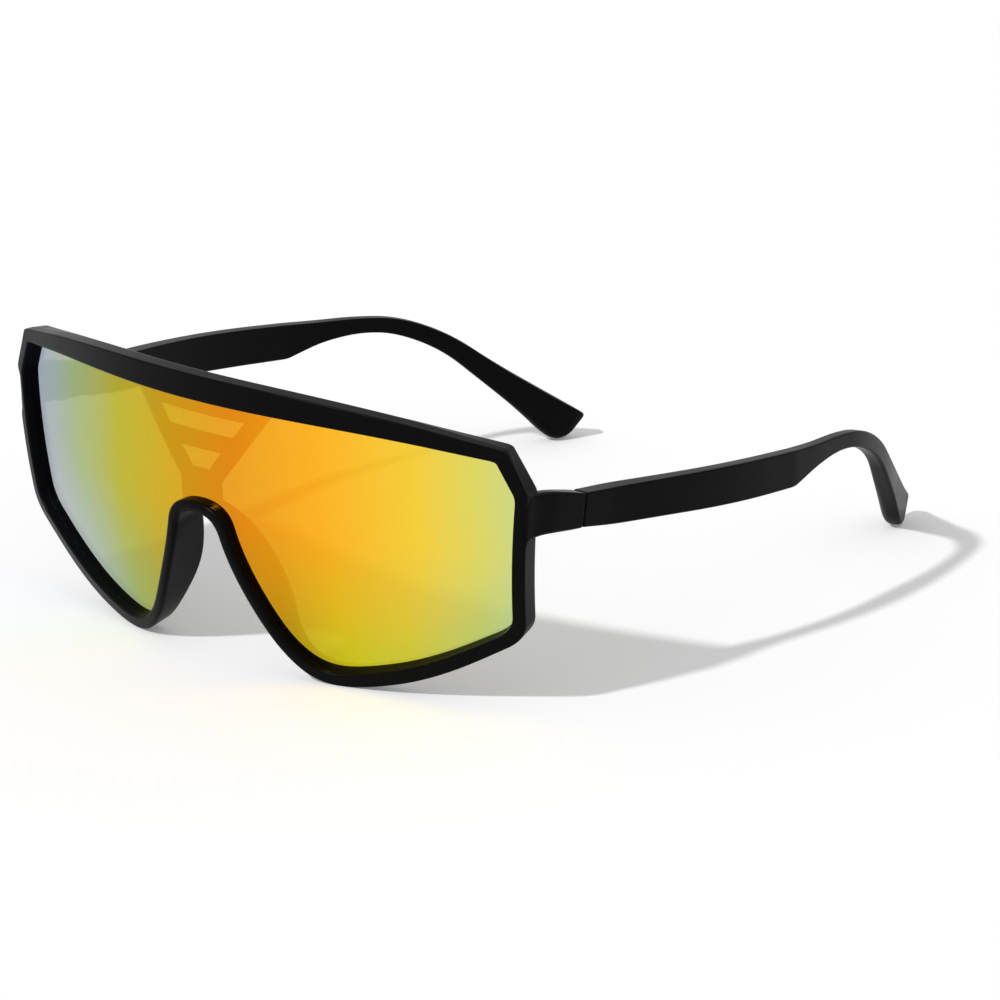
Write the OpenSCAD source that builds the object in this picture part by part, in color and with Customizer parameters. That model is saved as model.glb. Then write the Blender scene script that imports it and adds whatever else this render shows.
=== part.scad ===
// Shield sunglasses: a moulded wraparound front, one curved shield lens set in its groove,
// two folding temples and a three knuckle metal hinge on each side.
// Millimetres. +Z is up, the lens looks along -Y, the temples run along +Y and +X is the wearer's left.
// The glasses stand open on a flat surface, on the bottom of the rim and on both temple tips.

/* [Front frame] */
// Half of the width across the front, from the middle to the side of the rim
half_w = 73; // [66:0.5:80]
// Height of the front, from the surface it stands on to the top of the brow
front_h = 64.5; // [58:0.5:72]
// How far the sides of the front wrap back from the middle
wrap_d = 22; // [14:0.5:28]
// How far the bottom of the rim tucks back towards the cheeks
tuck_d = 8; // [3:0.5:12]
// Thickness of the frame, square to its front face
frame_t = 5.4; // [5:0.1:7]
// Width of the rim's front face at the sides, the bottom and the nose
rim_w = 2.6; // [2.3:0.1:4]
// Height of the brow's front face in the middle
brow_w = 5.8; // [4:0.1:8]
// Small bevel on the long edges of the frame
edge_r = 0.35; // [0.2:0.05:0.5]

/* [Nose] */
// How far the moulded nose pads reach behind the frame
pad_d = 6.4; // [3:0.2:9]
// Thickness of a nose pad at its rear edge
pad_t = 1.9; // [1.2:0.1:2.2]
// How far the frame's rear edge leans away from its front edge, at the nose pads and along the brow
rear_lean = 2.2; // [0:0.1:3]

/* [Shield lens] */
// Depth of the lens behind the front face
lens_recess = 2.4; // [2:0.1:3.2]
// Thickness of the lens
lens_t = 1; // [0.8:0.1:1.4]
// How far the edge of the lens sits in its groove
lens_bite = 0.9; // [0.5:0.1:1.2]
// Clearance round the edge of the lens and on each of its faces, in the groove
lens_gap = 0.15; // [0.14:0.01:0.2]

/* [Brace behind the lens] */
// Gap between the lens and the brace
brace_gap = 0.1; // [0.08:0.01:0.13]
// Half width of the brace where it leaves the brow
brace_top_w = 20.2; // [18:0.2:26]
// Half width of the brace at its neck, above the nose
brace_neck_w = 5.8; // [5:0.1:9]
// Height of the neck's top above the surface
brace_neck_z = 41; // [38:0.5:42]
// Thickness of the brace
brace_t = 0.8; // [0.6:0.1:1.4]
// Height of the upper window's top and bottom edges above the surface
window_high = [55.3, 51.5];
// Half width of the upper window at its top and bottom edges
window_high_w = [12.5, 9.4];
// Height of the lower window's top and bottom edges above the surface
window_low = [47.7, 43.4];
// Half width of the lower window at its top and bottom edges
window_low_w = [6, 2.5];

/* [Lugs] */
// How far each lug reaches behind the side of the rim, to the joint with the temple
lug_run = 17; // [14:0.5:22]
// How far the lug's outer face stands outside the rim's side
lug_out = 0.6; // [0:0.1:1.5]
// Lean of the joint's face in degrees, its top further back than its bottom
joint_lean = 9; // [0:1:12]

/* [Temples] */
// Length of a temple along Y, from the joint to the rear of its tip
temple_run = 140.8; // [125:0.1:160]
// Height of the temple's top edge at the joint
hinge_top = 44.4; // [42:0.1:47]
// Height of the temple's blade at the joint
temple_h = 7.25; // [6.75:0.05:8.5]
// Thickness of the temple at the joint
temple_t = 4; // [3.4:0.1:5]
// How far the temple's tip is drawn in towards the head
tip_in = 25.4; // [15:0.1:32]
// Gap between the lug and the temple
joint_gap = 0.2; // [0.1:0.05:0.3]

/* [Hinges] */
// Radius of the knuckles
knuckle_r = 1.4; // [1.2:0.1:1.6]
// Radius of the screw's shank
screw_r = 0.7; // [0.5:0.05:0.8]
// Radial clearance of the screw in the knuckles
bore_gap = 0.08; // [0.04:0.02:0.12]
// Height of one knuckle
knuckle_h = 1.4; // [1.2:0.1:1.6]
// How far the hinge's middle lies below the middle of the blade, which hides the screw's head
hinge_drop = 0.7; // [0:0.1:0.9]
// Clearance between one knuckle and the next, and between the screw's head and its seat
knuckle_gap = 0.1; // [0.05:0.05:0.15]
// Thickness of a hinge leaf
leaf_t = 0.8; // [0.5:0.05:0.9]
// How deep a hinge leaf is set into the plastic
leaf_set = 0.1; // [0.05:0.05:0.3]
// Length of a hinge leaf, from the hinge axis
leaf_l = 8; // [6:0.5:10]
// Room between a knuckle and what it turns past
knuckle_room = 0.2; // [0.1:0.05:0.3]
// Radius of the screw's head
screw_head_r = 1.2; // [1:0.1:1.4]
// Height of the screw's head
screw_head_h = 0.6; // [0.4:0.1:0.8]
// Radius of the rivet heads on a leaf
rivet_r = 0.8; // [0.5:0.1:1]
// Height of the rivet heads
rivet_h = 0.25; // [0.1:0.05:0.4]

/* [Hidden] */

// Steps round one softened corner of an outline, rows of cells up the lens, and columns of cells
// on each half of the brace
corner_steps = 5;
lens_rows = 7;
brace_columns = 6;
// Softness that rounds a corner from the middle of one side to the middle of the next
full_soft = 0.5;
// Sides of the round parts, and of the rounded edges of a lug
round_sides = 48;
edge_sides = 16;

// Share of the wrap that flattens out towards the sides
flat_share = 0.27;
// Height where the rim starts to tuck back, as a share of the front's height
tuck_share = 0.73;

// Control points of the front's outline on the wearer's left, from the brow to the nose.
// In each row: across as a share of half_w, up as a share of front_h, how much of the brow's
// extra width the rim has there, nose pad depth and rear lean as shares, and the softness of the
// corner, where half rounds it from the middle of one side to the middle of the next.
front_shares = [
    [0.233, 1.001, 1.00, 0, 0.5, 0.5],
    [0.603, 0.960, 0.62, 0, 0.45, 0.5],
    [0.943, 0.881, 0.12, 0, 0, 0.06],
    [1.002, 0.732, 0.00, 0, -0.3, 0.12],
    [0.985, 0.496, 0.00, 0, -0.3, 0.5],
    [0.966, 0.248, 0.00, 0, -0.3, 0.22],
    [0.699, 0.071, 0.15, 0, 0, 0.5],
    [0.473, -0.002, 0.12, 0, 0, 0.5],
    [0.337, -0.002, 0.00, 0, 0, 0.5],
    [0.241, 0.085, 0.00, 0.25, 0.3, 0.5],
    [0.170, 0.220, 0.00, 1.00, 0.7, 0.5],
    [0.099, 0.394, 0.00, 0.88, 1.0, 0.5],
    [0.068, 0.529, 0.00, 0.18, 0.0, 0.5]];

// Stations of a temple behind the joint, up to the tip. In each row: along as a share of temple_run,
// top edge as a share of hinge_top, blade as a share of temple_h, tilt of the station in degrees,
// draw in as a share of tip_in, thickness as a share of temple_t, and softness.
temple_shares = [
    [0.070, 0.980, 1.10, 0, -0.012, 1.06, 0.3],
    [0.162, 0.957, 1.12, 0, -0.071, 0.92, 0.5],
    [0.261, 0.928, 1.15, 0, -0.110, 0.83, 0.5],
    [0.361, 0.896, 1.15, 0, -0.106, 0.80, 0.5],
    [0.474, 0.855, 1.10, 0, -0.047, 0.78, 0.1],
    [0.545, 0.829, 0.65, 0, 0.020, 0.75, 0.4],
    [0.624, 0.802, 0.43, 6, 0.122, 0.70, 0.5],
    [0.702, 0.746, 0.44, 14, 0.225, 0.68, 0.5],
    [0.787, 0.622, 0.51, 30, 0.400, 0.78, 0.5],
    [0.858, 0.447, 0.66, 38, 0.590, 0.90, 0.5],
    [0.922, 0.298, 0.90, 40, 0.785, 0.94, 0.5],
    [0.972, 0.180, 1.14, 33, 0.920, 0.88, 0.45],
    [0.994, 0.127, 1.00, 34, 0.975, 0.72, 0.5],
    [1.000, 0.113, 0.70, 38, 1.000, 0.50, 0]];

// Section of a temple's blade: share of its height from the bottom, share of its thickness from outside
blade_shares = [[0, 0.25], [0.03, 0.08], [0.1, 0], [0.9, 0], [0.97, 0.08], [1, 0.25],
    [1, 0.75], [0.97, 0.92], [0.9, 1], [0.1, 1], [0.03, 0.92], [0, 0.75]];

// Slices of a lug from the rim to the joint. In each row: along as a share of lug_run, rise of its top
// and drop of its bottom as shares of temple_h, place of its inner face as a share of temple_t, and
// the share of lug_out and of the joint's lean that it has reached.
lug_shares = [
    [0.05, 0.40, 0.03, 0.75, 0],
    [0.15, 0.33, -0.11, 0.95, 0.2],
    [0.42, 0.22, -0.13, 0.97, 0.6],
    [0.70, 0.12, -0.06, 0.985, 0.85],
    [1.00, 0.00, 0.00, 1, 1]];

// Places of the rivets along a hinge leaf, as shares of its length
rivet_shares = [0.45, 0.8];

// Thickness of one slice of a lug, and the overrun of cuts and of what is embedded
slice_t = 0.1;
over = 1;

slot_w = lens_t + 2 * lens_gap;
tuck_z = tuck_share * front_h;
split_y = wrap_d + lug_run;
total_y = split_y + joint_gap + temple_run;
lug_x = half_w + lug_out;
hinge_x = lug_x - temple_t - knuckle_r - knuckle_room;
hinge_y = split_y + joint_gap / 2;
hinge_z = hinge_top - temple_h / 2 - hinge_drop;
hinge_h = 3 * knuckle_h + 2 * knuckle_gap;

// Places a piece: the row's origin is at the middle of the box that the open glasses fill
module placed() {
    translate([0, -total_y / 2, 0]) children();
}

module on_side(side) {
    if (side > 0) placed() children();
    else placed() mirror([1, 0, 0]) children();
}

// Front surface: how far back it lies at a point, and its slopes across and up
function bend(x) = let(u = x / half_w) wrap_d * ((1 + flat_share) * u * u - flat_share * pow(u, 4));
function tuck(z) = tuck_d * pow(max(0, 1 - z / tuck_z), 2);
function bend_slope(x) =
    let(u = x / half_w) wrap_d * (2 * (1 + flat_share) * u - 4 * flat_share * pow(u, 3)) / half_w;
function tuck_slope(z) = -2 * tuck_d * max(0, 1 - z / tuck_z) / tuck_z;
function unit(v) = v / norm(v);
function skin(p, depth) =
    [p[0], bend(p[0]) + tuck(p[1]), p[1]] + depth * unit([-bend_slope(p[0]), 1, -tuck_slope(p[1])]);

// Softens the corners of a list of control rows: each becomes a parabola between its two sides.
// The last column of a row is its softness. An open list keeps its two end rows as they are.
function soft(rows, closed) =
    let(n = len(rows), cut = len(rows[0]) - 1)
    [for (i = [0 : n - 1])
        let(v = rows[i], a = rows[(i + n - 1) % n], b = rows[(i + 1) % n], s = v[cut],
            end = !closed && (i == 0 || i == n - 1),
            last = s == full_soft && b[cut] == full_soft ? corner_steps - 1 : corner_steps)
        for (k = [0 : end ? 0 : last])
            let(t = k / corner_steps, from = v + (a - v) * s, to = v + (b - v) * s)
            end ? v : from * pow(1 - t, 2) + v * 2 * t * (1 - t) + to * pow(t, 2)];

// Faces of a skin over rings of points: triangles between one ring and the next, and two end caps
function ring_faces(rings, sides, closed) =
    let(n = rings * sides, tail = (rings - 1) * sides)
    concat(
        [for (r = [0 : closed ? rings - 1 : rings - 2], s = [0 : sides - 1])
            let(a = r * sides + s, b = r * sides + (s + 1) % sides, c = (a + sides) % n, d = (b + sides) % n)
            for (f = [[a, b, d], [a, d, c]]) f],
        closed ? [] : [for (s = [1 : sides - 2]) [0, s + 1, s]],
        closed ? [] : [for (s = [1 : sides - 2]) [tail, tail + s, tail + s + 1]]);

// Outline of the front: outer and inner control points, found by moving each side in by the rim's width
function side_in(a, b) = let(d = unit(b - a)) [d[1], -d[0]];
half_rows = [for (s = front_shares) [s[0] * half_w, s[1] * front_h, s[2], s[3], s[4], s[5]]];
mirror_rows = [for (i = [len(half_rows) - 1 : -1 : 0]) [for (k = [0 : 5]) (k ? 1 : -1) * half_rows[i][k]]];
outer_rows = concat(half_rows, mirror_rows);
function flat(row) = [row[0], row[1]];
control_rows = [for (i = [0 : len(outer_rows) - 1])
    let(n = len(outer_rows), v = outer_rows[i], a = outer_rows[(i + n - 1) % n], b = outer_rows[(i + 1) % n],
        na = side_in(flat(a), flat(v)), nb = side_in(flat(v), flat(b)),
        w = rim_w + (brow_w - rim_w) * v[2], inner = flat(v) + w * (na + nb) / (1 + na * nb))
    [v[0], v[1], inner[0], inner[1], v[3] * pad_d, v[4] * rear_lean, v[5]]];
stations = soft(control_rows, true);

// One section of the frame, as points across from the outer edge and back from the front face
function rim_point(st, across, depth) =
    let(o = [st[0], st[1]], i = [st[2], st[3]]) skin(o + unit(i - o) * across, depth);
function rim_section(st) =
    let(w = norm([st[2] - st[0], st[3] - st[1]]), back = frame_t + st[4], lean = st[5],
        slot = lens_recess + slot_w, floor_at = w - lens_bite - lens_gap)
    [for (p = [[0, edge_r], [lean, back - edge_r], [edge_r + lean, back], [pad_t + lean, back],
        [w, frame_t], [w, slot], [floor_at, slot], [floor_at, lens_recess], [w, lens_recess],
        [w, edge_r], [w - edge_r, 0], [edge_r, 0]]) rim_point(st, p[0], p[1])];

module rim() {
    sections = [for (st = stations) rim_section(st)];
    sides = len(sections[0]);
    polyhedron([for (s = sections, p = s) p], ring_faces(len(sections), sides, true));
}

// A grid of points over the front surface between two depths, closed all round.
// Each column is [across, lower end, upper end].
module shell(columns, rows, depths) {
    n = len(columns);
    stride = rows + 1;
    points = [for (d = depths, c = columns, k = [0 : rows])
        skin([c[0], c[1] + (c[2] - c[1]) * k / rows], d)];
    back = n * stride;
    function at(c, k) = c * stride + k;
    front_faces = [for (c = [0 : n - 2], k = [0 : rows - 1])
        for (f = [[at(c, k), at(c, k + 1), at(c + 1, k + 1)], [at(c, k), at(c + 1, k + 1), at(c + 1, k)]]) f];
    back_faces = [for (f = front_faces) [f[2] + back, f[1] + back, f[0] + back]];
    edge = concat([for (c = [0 : n - 1]) at(c, 0)], [for (k = [1 : rows]) at(n - 1, k)],
        [for (c = [n - 2 : -1 : 0]) at(c, rows)], [for (k = [rows - 1 : -1 : 1]) at(0, k)]);
    edge_faces = [for (i = [0 : len(edge) - 1])
        let(a = edge[i], b = edge[(i + 1) % len(edge)])
        for (f = [[a, b, b + back], [a, b + back, a + back]]) f];
    polyhedron(points, concat(front_faces, back_faces, edge_faces));
}

// Edge of the lens, in the groove, from the brow round to the nose on the wearer's left
lens_edge = [for (st = stations)
    let(o = [st[0], st[1]], i = [st[2], st[3]], p = i - unit(i - o) * lens_bite) if (p[0] > -edge_r) p];
lens_side_x = max([for (p = lens_edge) p[0]]);
lens_side = [for (i = [0 : len(lens_edge) - 1]) if (lens_edge[i][0] == lens_side_x) i][0];
brow_line = [for (i = [0 : lens_side]) lens_edge[i]];
rim_line = [for (i = [len(lens_edge) - 1 : -1 : lens_side]) lens_edge[i]];
lens_half = [for (p = rim_line) if (p[0] > edge_r && lookup(p[0], brow_line) - p[1] > rim_w)
    [p[0], p[1], lookup(p[0], brow_line)]];
lens_middle = [0, rim_line[0][1], brow_line[0][1]];
lens_columns = concat([for (i = [len(lens_half) - 1 : -1 : 0]) let(c = lens_half[i]) [-c[0], c[1], c[2]]],
    [lens_middle], lens_half);

// Brace: a flat outline with two windows, cut from a curved sheet behind the lens
brace_depth = lens_recess + lens_gap + lens_t + brace_gap;
brace_top_z = front_h - brow_w;
brace_foot_z = front_shares[len(front_shares) - 1][1] * front_h + edge_r;

module trapezoid(high, wide) {
    polygon([[-wide[0], high[0]], [wide[0], high[0]], [wide[1], high[1]], [-wide[1], high[1]]]);
}

module brace_outline() {
    difference() {
        union() {
            trapezoid([brace_top_z, brace_neck_z], [brace_top_w, brace_neck_w]);
            trapezoid([brace_neck_z + over, brace_foot_z], [brace_neck_w, brace_neck_w]);
        }
        trapezoid(window_high, window_high_w);
        trapezoid(window_low, window_low_w);
    }
}

module brace() {
    columns = [for (i = [-brace_columns : brace_columns])
        [i / brace_columns * (brace_top_w + over), brace_foot_z - over, front_h]];
    intersection() {
        rotate([90, 0, 0])
            linear_extrude(2 * wrap_d + 2 * frame_t, center = true)
                brace_outline();
        shell(columns, lens_rows, [brace_depth, brace_depth + brace_t]);
    }
}

// Lug: rounded slices joined one to the next, from inside the rim's side to the joint
module lug_slice(s) {
    outer = half_w + lug_out * s[4];
    width = outer - lug_x + temple_t * s[3];
    tall = temple_h * (1 + s[1] + s[2]);
    translate([outer - width / 2, wrap_d + s[0] * lug_run, hinge_top + s[1] * temple_h - tall / 2])
        rotate([90 - joint_lean * s[4], 0, 0])
            linear_extrude(slice_t)
                offset(r = edge_r, $fn = edge_sides)
                    square([width - 2 * edge_r, tall - 2 * edge_r], center = true);
}

module lug() {
    for (i = [0 : len(lug_shares) - 2]) {
        hull() {
            lug_slice(lug_shares[i]);
            lug_slice(lug_shares[i + 1]);
        }
    }
}

module front_frame() {
    color("#17181b") placed() {
        rim();
        brace();
        lug();
        mirror([1, 0, 0]) lug();
    }
}

module shield_lens() {
    color("#ff9a1f", 0.9) placed()
        shell(lens_columns, lens_rows, [lens_recess + lens_gap, lens_recess + lens_gap + lens_t]);
}

// Temple of the wearer's left side: stations softened, then a blade section on each
joint_row = [temple_h / 2 * sin(joint_lean), hinge_top, temple_h, joint_lean, 0, temple_t, 0];
temple_rows = concat([joint_row], [for (s = temple_shares)
    [s[0] * temple_run, s[1] * hinge_top, s[2] * temple_h, s[3], s[4] * tip_in, s[5] * temple_t, s[6]]]);
temple_stations = soft(temple_rows, false);
temple_draw = [for (st = temple_stations) [st[0], st[4]]];

module temple() {
    rings = [for (st = temple_stations) [for (b = blade_shares)
        let(down = (1 - b[0]) * st[2], y = st[0] - down * sin(st[3]), z = st[1] - down * cos(st[3]),
            slope = (lookup(y + edge_r, temple_draw) - lookup(y - edge_r, temple_draw)) / (2 * edge_r),
            inward = unit([-1, -slope]) * b[1] * st[5])
        [lug_x - lookup(y, temple_draw) + inward[0], split_y + joint_gap + y + inward[1], z]]];
    polyhedron([for (r = rings, p = r) p], ring_faces(len(rings), len(blade_shares), false));
}

module temple_left() {
    color("#17181b") on_side(1) temple();
}

module temple_right() {
    color("#17181b") on_side(-1) temple();
}

// One knuckle, at its place in the row of three
module knuckle(i) {
    translate([0, 0, i * (knuckle_h + knuckle_gap) - hinge_h / 2])
        cylinder(r = knuckle_r, h = knuckle_h, $fn = round_sides);
}

module screw_bore() {
    translate([0, 0, -hinge_h / 2 - over])
        cylinder(r = screw_r + bore_gap, h = hinge_h + 2 * over, $fn = round_sides);
}

module rivets() {
    for (along = rivet_shares)
        translate([knuckle_r + knuckle_room - leaf_t - rivet_h, along * leaf_l, 0])
            rotate([0, 90, 0])
                cylinder(r = rivet_r, h = rivet_h + leaf_t / 2, $fn = round_sides);
}

// A hinge leaf that runs along +Y from the axis: its plate, its knuckles and their tongues
module leaf(knuckles) {
    clear_y = knuckle_r + knuckle_room;
    plate_x = knuckle_r + knuckle_room - leaf_t;
    difference() {
        union() {
            translate([plate_x, clear_y, -hinge_h / 2])
                cube([leaf_t + leaf_set, leaf_l - clear_y, hinge_h]);
            for (i = knuckles) {
                knuckle(i);
                translate([knuckle_r - leaf_t, 0, i * (knuckle_h + knuckle_gap) - hinge_h / 2])
                    cube([leaf_t, clear_y + leaf_t, knuckle_h]);
            }
            rivets();
        }
        screw_bore();
    }
}

module at_hinge() {
    translate([hinge_x, hinge_y, hinge_z]) children();
}

module front_leaf() {
    at_hinge() mirror([0, 1, 0]) leaf([0, 2]);
}

module temple_leaf() {
    at_hinge() leaf([1]);
}

module screw() {
    at_hinge() {
        translate([0, 0, -hinge_h / 2])
            cylinder(r = screw_r, h = hinge_h + knuckle_gap + screw_head_h / 2, $fn = round_sides);
        translate([0, 0, hinge_h / 2 + knuckle_gap])
            cylinder(r = screw_head_r, h = screw_head_h, $fn = round_sides);
    }
}

module hinge_front_leaf_left() {
    color("#1c1d1f") on_side(1) front_leaf();
}

module hinge_front_leaf_right() {
    color("#1c1d1f") on_side(-1) front_leaf();
}

module hinge_temple_leaf_left() {
    color("#1c1d1f") on_side(1) temple_leaf();
}

module hinge_temple_leaf_right() {
    color("#1c1d1f") on_side(-1) temple_leaf();
}

module hinge_screw_left() {
    color("dimgray") on_side(1) screw();
}

module hinge_screw_right() {
    color("dimgray") on_side(-1) screw();
}

front_frame();
shield_lens();
temple_left();
temple_right();
hinge_front_leaf_left();
hinge_front_leaf_right();
hinge_temple_leaf_left();
hinge_temple_leaf_right();
hinge_screw_left();
hinge_screw_right();
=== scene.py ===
"""Shield sunglasses: smooth moulded pieces, their finishes and a small studio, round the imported
frame."""

import bpy
import numpy as np
from mathutils import Matrix


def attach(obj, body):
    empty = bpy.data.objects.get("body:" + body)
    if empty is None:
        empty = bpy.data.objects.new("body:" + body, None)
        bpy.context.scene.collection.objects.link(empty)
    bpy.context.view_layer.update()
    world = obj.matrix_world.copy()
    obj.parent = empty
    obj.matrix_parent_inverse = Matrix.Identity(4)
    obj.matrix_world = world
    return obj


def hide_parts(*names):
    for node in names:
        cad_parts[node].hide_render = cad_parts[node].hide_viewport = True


bl_info = {
    "name": "Shield sunglasses",
    "version": (1, 0, 0),
    "blender": (4, 5, 0),
    "location": "3D View > Sidebar > Sunglasses",
    "description": "Makes the front, the mirrored lens, the temples, the hinges and a plain studio",
    "category": "Add Mesh",
}

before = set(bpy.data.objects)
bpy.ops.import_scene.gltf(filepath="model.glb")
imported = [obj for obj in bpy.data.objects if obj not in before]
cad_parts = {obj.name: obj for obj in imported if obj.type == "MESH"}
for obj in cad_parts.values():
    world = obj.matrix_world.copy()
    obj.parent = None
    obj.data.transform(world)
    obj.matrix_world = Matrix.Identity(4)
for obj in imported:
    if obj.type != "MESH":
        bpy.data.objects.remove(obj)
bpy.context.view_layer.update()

MM = 0.001

# Small numbers that keep a length off zero, and two places on a curve apart
LEAST_SIDE = 1e-9
LEAST_STEP = 1e-12

# Front outline on the wearer's left, from the brow to the nose: across and up as shares of the half
# width and the height, share of the brow's extra width, nose pad depth, rear lean, corner softness
FRONT_ROWS = (
    (0.233, 1.001, 1.00, 0, 0.5, 0.5),
    (0.603, 0.960, 0.62, 0, 0.45, 0.5),
    (0.943, 0.881, 0.12, 0, 0, 0.06),
    (1.002, 0.732, 0, 0, -0.3, 0.12),
    (0.985, 0.496, 0, 0, -0.3, 0.5),
    (0.966, 0.248, 0, 0, -0.3, 0.22),
    (0.699, 0.071, 0.15, 0, 0, 0.5),
    (0.473, -0.002, 0.12, 0, 0, 0.5),
    (0.337, -0.002, 0, 0, 0, 0.5),
    (0.241, 0.085, 0, 0.25, 0.3, 0.5),
    (0.170, 0.220, 0, 1.00, 0.7, 0.5),
    (0.099, 0.394, 0, 0.88, 1.0, 0.5),
    (0.068, 0.529, 0, 0.18, 0, 0.5),
)
# Share of the wrap that flattens out to the sides, and height share under which the rim tucks back
FLAT_SHARE = 0.27
TUCK_SHARE = 0.73

# Stations of a temple behind the joint: along, top edge, blade height, tilt in degrees, draw in,
# thickness and softness, all but the tilt as shares
TEMPLE_ROWS = (
    (0.070, 0.980, 1.10, 0, -0.012, 1.06, 0.3),
    (0.162, 0.957, 1.12, 0, -0.071, 0.92, 0.5),
    (0.261, 0.928, 1.15, 0, -0.109, 0.83, 0.5),
    (0.361, 0.896, 1.15, 0, -0.106, 0.80, 0.5),
    (0.474, 0.855, 1.10, 0, -0.047, 0.78, 0.1),
    (0.545, 0.829, 0.65, 0, 0.020, 0.75, 0.4),
    (0.624, 0.808, 0.46, 6, 0.122, 0.70, 0.5),
    (0.702, 0.764, 0.51, 14, 0.225, 0.70, 0.5),
    (0.787, 0.636, 0.57, 30, 0.400, 0.82, 0.5),
    (0.858, 0.450, 0.69, 38, 0.590, 0.98, 0.5),
    (0.922, 0.298, 0.91, 40, 0.785, 1.10, 0.5),
    (0.970, 0.184, 1.22, 34, 0.927, 1.10, 0.45),
    (0.991, 0.134, 1.02, 37, 0.977, 0.96, 0.5),
    (1.000, 0.113, 0.62, 43, 1.000, 0.60, 0),
)

# Slices of a lug from inside the rim to the joint: along, rise of the top, drop of the bottom,
# place of the inner face, shares of the lug's stand out and of the joint's lean, and softness
LUG_ROWS = (
    (0.05, 0.70, 0.18, 0.63, 0, 0, 0.5),
    (0.10, 0.42, -0.05, 0.90, 0, 0.1, 0.5),
    (0.38, 0.38, -0.13, 0.97, 0.35, 0.6, 0.5),
    (0.74, 0.17, -0.05, 0.985, 0.8, 0.85, 0.5),
    (1.00, 0.00, 0.00, 1, 1, 1, 0.5),
)

# How far along a lug its outer face still follows the rim's side, and how far inside the line where
# that side stands furthest out it starts
LUG_FOLLOWS = 0.55
LUG_START = 0.004 * MM

# How much rounder a temple's long edges get towards its tip, and a lug's towards the rim, beside
# their radius at the joint, and the shares of the length between which each changes, the tip's low
# edge later than the others
TIP_SOFTENING = 0.9
TIP_SOFTENS = (0.6, 0.9)
TIP_LOW_SOFTENS = (0.85, 0.97)
LUG_SOFTENING = 1.5
LUG_SOFTENS = (1, 0.3)

# Share of the half width past which a point is on the rim's side, shares of it between which the
# front edges round off for the nose, and share of the height under which they do
SIDE_SHARE = 0.9
NOSE_SHARES = (0.34, 0.2)
NOSE_HEIGHT_SHARE = 0.6

# Radii of the rim beside those in the sidebar: front edge, nose arch, both rear edges
FRONT_ROUNDING = 0.6
NOSE_ROUNDING = 0.9
OUTER_REAR_ROUNDING = 1.4
INNER_REAR_ROUNDING = 1.6

# A rounded corner takes at most this share of a side, and its flats stay flat from this distance on
CORNER_REACH = 0.47
EDGE_SUPPORT = 0.06 * MM

# A temple's end rings stand in by at most this share of its thickness, and its edge radii are at
# most its thickness or its height divided by this divisor
END_STAND_IN = 0.45
EDGE_DIVISOR = 2.1

# Windows of the brace in millimetres: top, bottom, half width at the top and at the bottom
BRACE_WINDOWS = (
    (55.3, 51.5, 12.5, 9.4),
    (47.7, 43.4, 6, 2.5),
)
# How far the brace reaches into the brow and into the nose arch, and the bevel of its edges
BRACE_INTO_BROW = 1.2 * MM
BRACE_INTO_ARCH = 0.6 * MM
BRACE_BEVEL = 0.18 * MM

# Power of the sine that sets the lens's columns closer together at its sides, and its least height
LENS_CROWDING = 0.9
LENS_LEAST = 0.02 * MM

# Steps round one corner of an outline and round the edges of a section
CORNER_STEPS = 16
EDGE_STEPS = 4
INNER_STEPS = 6
RIDGE_STEPS = 8
OUTER_STEPS = 16
END_STEPS = 7

# Points along the swept pieces, and along the curve that gives a temple's draw
RIM_STATIONS = 900
TEMPLE_STATIONS = 240
LUG_STATIONS = 40
DRAW_STATIONS = 4000

# Points of the brace down each part of its height, across a limb and across the middle
BRACE_DOWN = 8
BRACE_LIMB = 9
BRACE_MIDDLE = 13

# Columns of the lens from the middle to one side, and cells from its bottom to its top
LENS_COLUMNS = 220
LENS_ROWS = 16

# Angles in radians past which an edge stays sharp, and how much large faces lead the shading
FRONT_SHARP = 0.75
LENS_SHARP = 0.6
FACE_LEAD = 80


def length(label, millimetres, about):
    """A size in the sidebar, kept in metres."""
    return bpy.props.FloatProperty(
        name=label, description=about, default=millimetres * MM, min=0, unit="LENGTH", precision=5)


def number(label, value, about):
    """A plain number in the sidebar."""
    return bpy.props.FloatProperty(name=label, description=about, default=value)


def linear(code):
    """An sRGB hex code as linear red, green, blue and full alpha."""
    part = np.array([int(code[i:i + 2], 16) for i in (1, 3, 5)]) / 255
    part = np.where(part <= 0.04045, part / 12.92, ((part + 0.055) / 1.055) ** 2.4)
    return (*part, 1.0)


def colour(label, code, about):
    """A colour in the sidebar, written as an sRGB hex code."""
    return bpy.props.FloatVectorProperty(
        name=label, description=about, subtype="COLOR", size=4, min=0, max=1, default=linear(code))


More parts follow.
